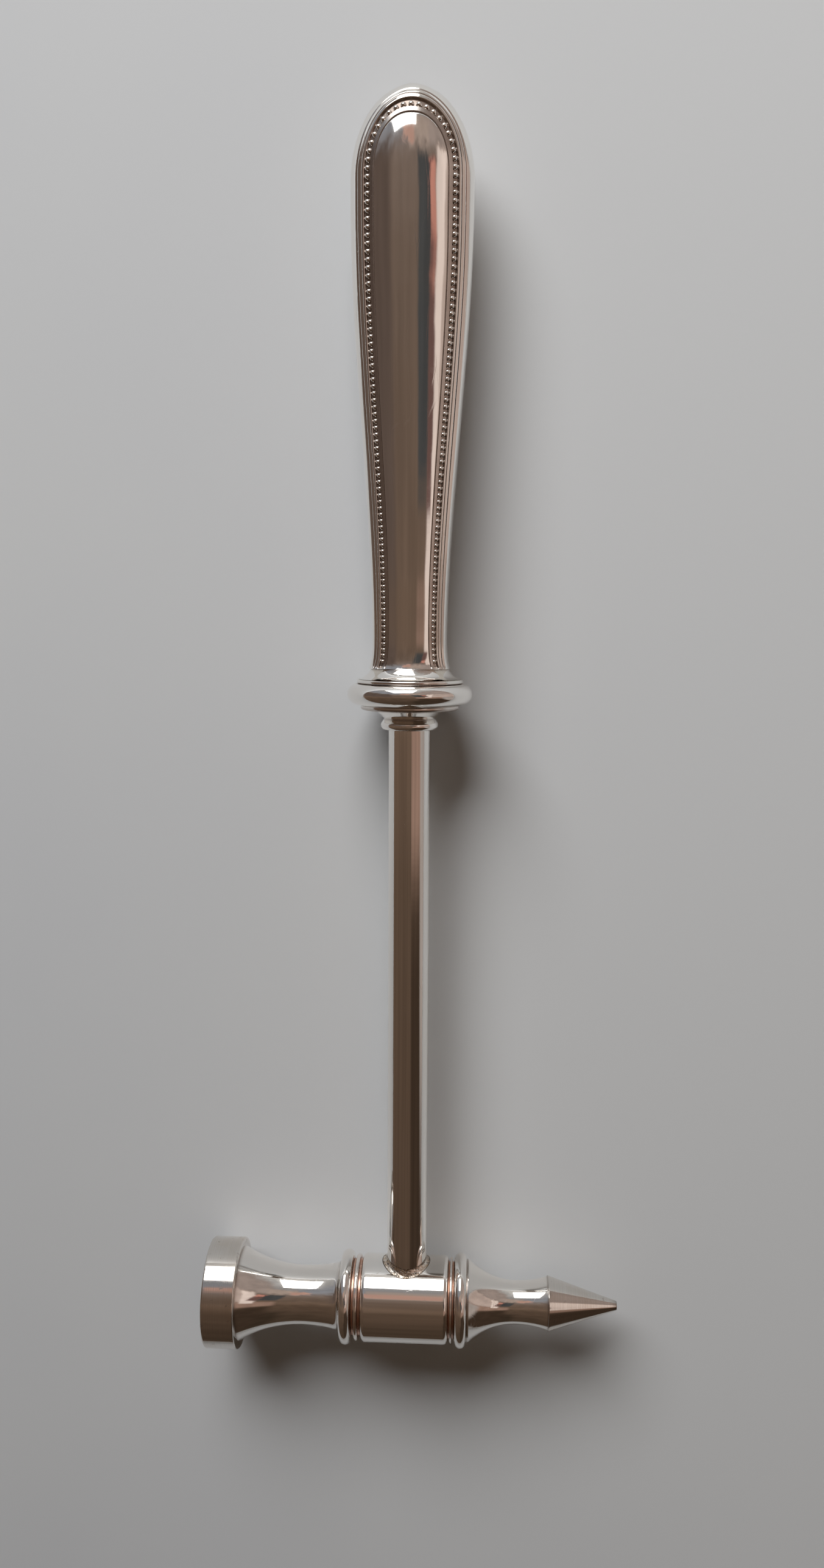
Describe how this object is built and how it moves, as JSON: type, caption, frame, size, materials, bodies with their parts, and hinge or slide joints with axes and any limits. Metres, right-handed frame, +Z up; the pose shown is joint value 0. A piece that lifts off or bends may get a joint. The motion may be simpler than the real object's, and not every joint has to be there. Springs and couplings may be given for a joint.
{
  "type": "ice hammer",
  "caption": "Bar hammer for cracking ice: turned head with a flat striking disc and a blunt conical pick, round rod, moulded collar and a hollow beaded handle.",
  "frame": {"origin": "on the surface that the tool lies on, under the middle of its bounding box", "axes": "+Y from the head to the handle's round end, +X towards the pick's point, +Z up from the surface; the head's and the rod's axes are 11.8 mm above it"},
  "size_m": [0.0822, 0.24, 0.0236],
  "materials": {
    "silver_plate": "polished silver plate, lightly worn",
    "turned_steel": "plated steel with turning marks",
    "inner_steel": "plain steel, hidden",
    "braze": "plated over, uneven",
    "cement": "dull resin cement, hidden"
  },
  "bodies": {
    "root": {"striking_disc": "turned_steel", "neck_face": "silver_plate", "spacer_ring_face": "silver_plate", "head_barrel": "silver_plate", "spacer_ring_pick": "silver_plate", "neck_pick": "silver_plate", "pick_point": "turned_steel", "tie_stud": "inner_steel", "rod": "silver_plate", "braze_fillet": "braze", "ferrule": "silver_plate", "flange_ring": "silver_plate", "bolster_ring": "silver_plate", "cap_ring": "silver_plate", "tang_washer": "inner_steel", "tang_nut": "inner_steel", "handle_filler": "cement", "handle_shell_front": "silver_plate", "handle_shell_back": "silver_plate"}
  },
  "joints": []
}
